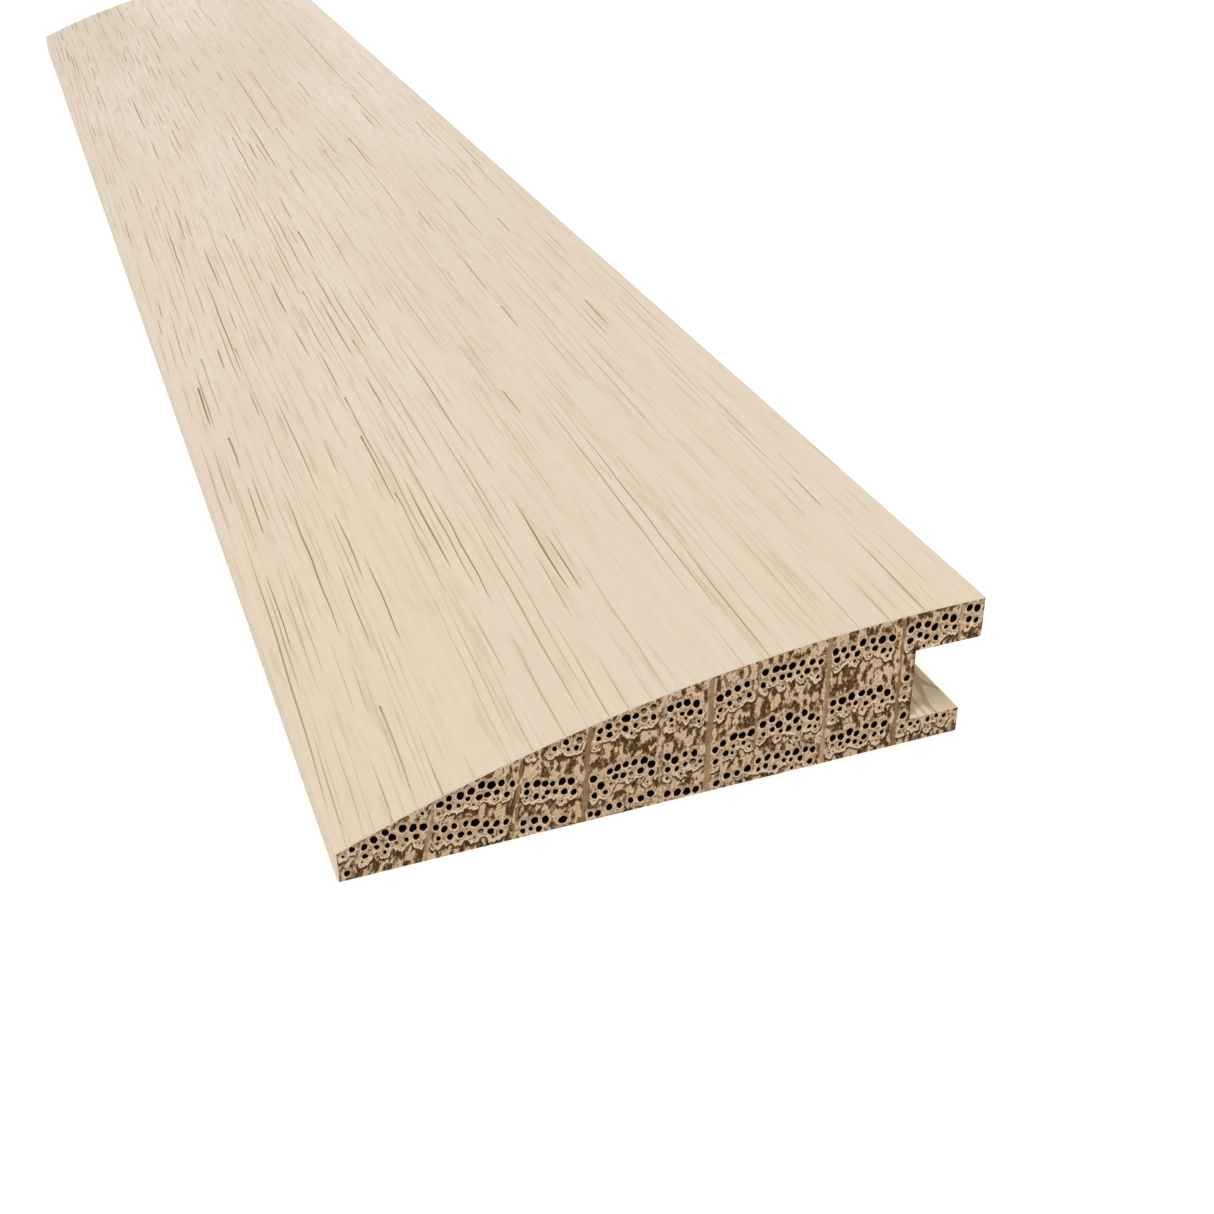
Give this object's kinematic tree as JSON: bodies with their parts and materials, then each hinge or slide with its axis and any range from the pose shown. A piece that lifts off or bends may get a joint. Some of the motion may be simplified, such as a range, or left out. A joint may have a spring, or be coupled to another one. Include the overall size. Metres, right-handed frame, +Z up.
{
  "type": "threshold strip",
  "caption": "Solid-oak flush reducer floor strip: a shallow ramp up from a thin nose, with a tongue groove along its tall edge and a pale matt finish.",
  "frame": {"origin": "bottom centre of the strip's bounding box, on the floor", "axes": "X across the strip, thin nose at -X and tongue groove at +X; Y along the strip; Z up"},
  "size_m": [0.054, 0.3048, 0.0127],
  "materials": {
    "raw_oak": "sawn and planed, uncoated",
    "whitewash_finish": "whitewashed matt lacquer over oak grain"
  },
  "bodies": {
    "root": {"oak_moulding": "raw_oak", "face_finish": "whitewash_finish"}
  },
  "joints": []
}
